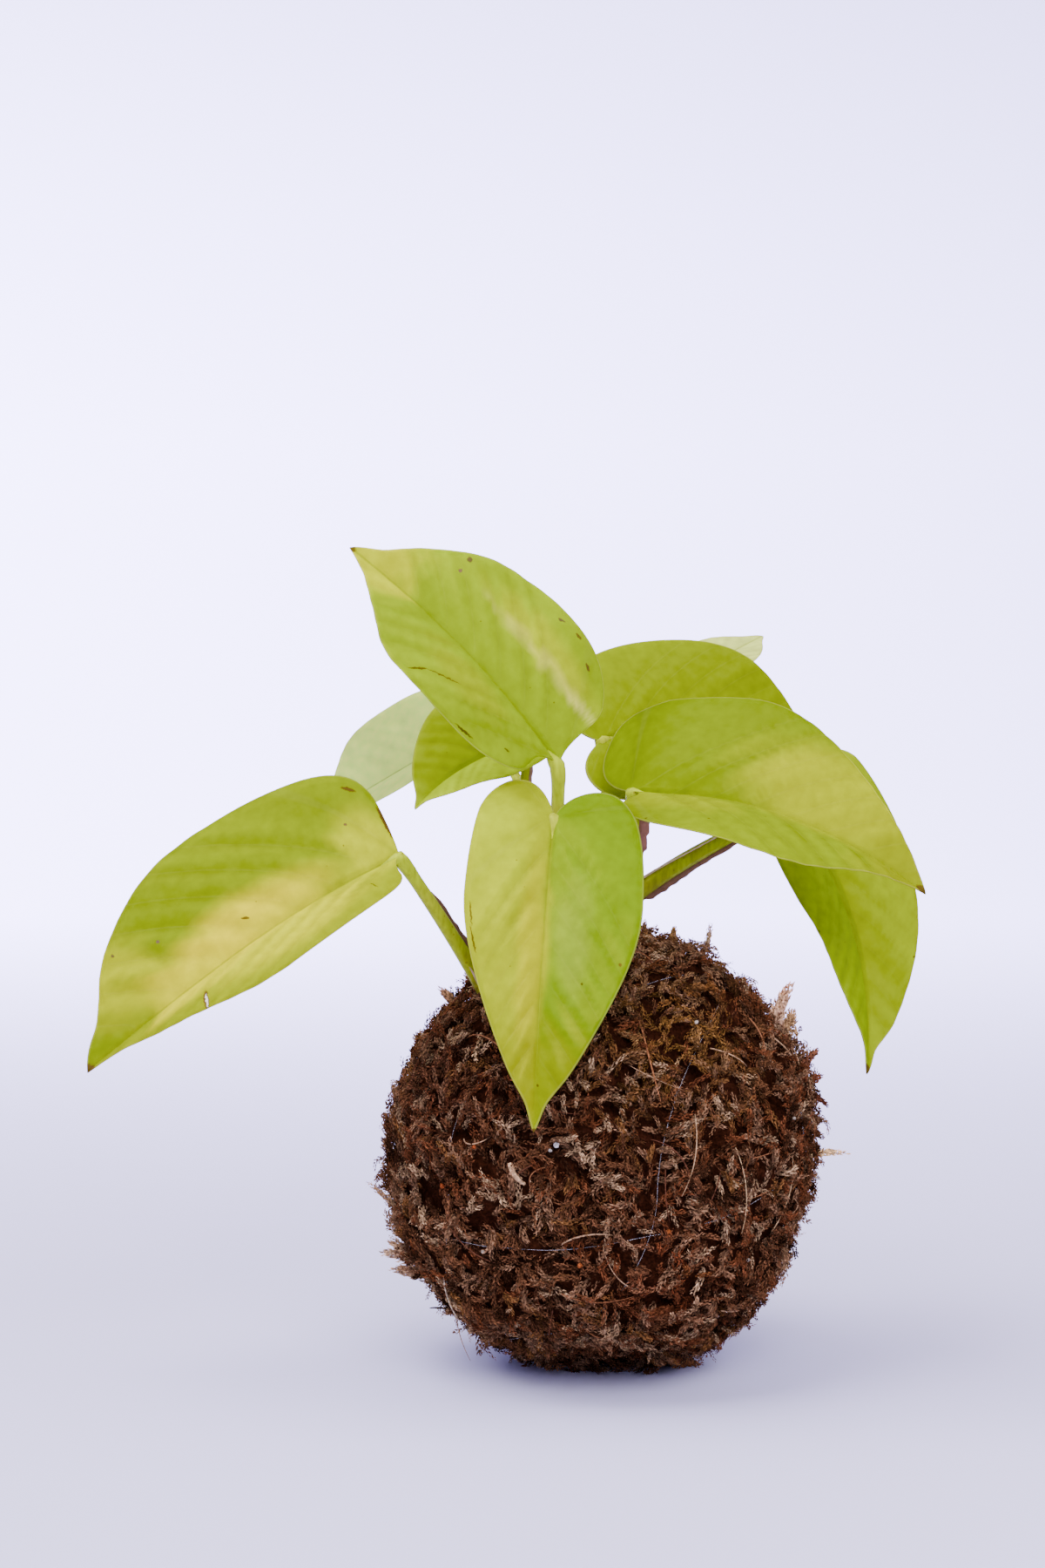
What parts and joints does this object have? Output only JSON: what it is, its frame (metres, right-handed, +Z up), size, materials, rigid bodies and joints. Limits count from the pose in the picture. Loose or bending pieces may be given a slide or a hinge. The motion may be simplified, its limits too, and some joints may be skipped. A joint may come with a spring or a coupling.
{
  "type": "kokedama moss ball plant",
  "caption": "Kokedama: a soil ball wrapped in dried moss and bound with clear thread, with lime-green heart-shaped leaves on long stalks growing out of its top.",
  "frame": {"origin": "centre of the flat spot that the ball rests on", "axes": "+Z up through the ball to the leaves, -Y towards the viewer of the picture, +X to that viewer's right"},
  "size_m": [0.2027, 0.1667, 0.2035],
  "materials": {
    "moss": "dried sphagnum moss, fibrous and matt",
    "soil": "damp potting mix, matt",
    "thread": "clear nylon, glossy",
    "stem": "waxy green stem",
    "leaf": "waxy lime-green leaf, satin"
  },
  "bodies": {
    "root": {"moss_wrap": "moss", "soil_core": "soil", "binding_thread": "thread", "stem_left": "stem", "stem_middle": "stem", "stem_right": "stem", "leaf_left": "leaf", "leaf_top": "leaf", "leaf_front": "leaf", "leaf_right": "leaf", "leaf_low_right": "leaf", "leaf_back_right": "leaf", "leaf_far_right": "leaf", "leaf_back_left": "leaf", "leaf_inner_left": "leaf"}
  },
  "joints": []
}
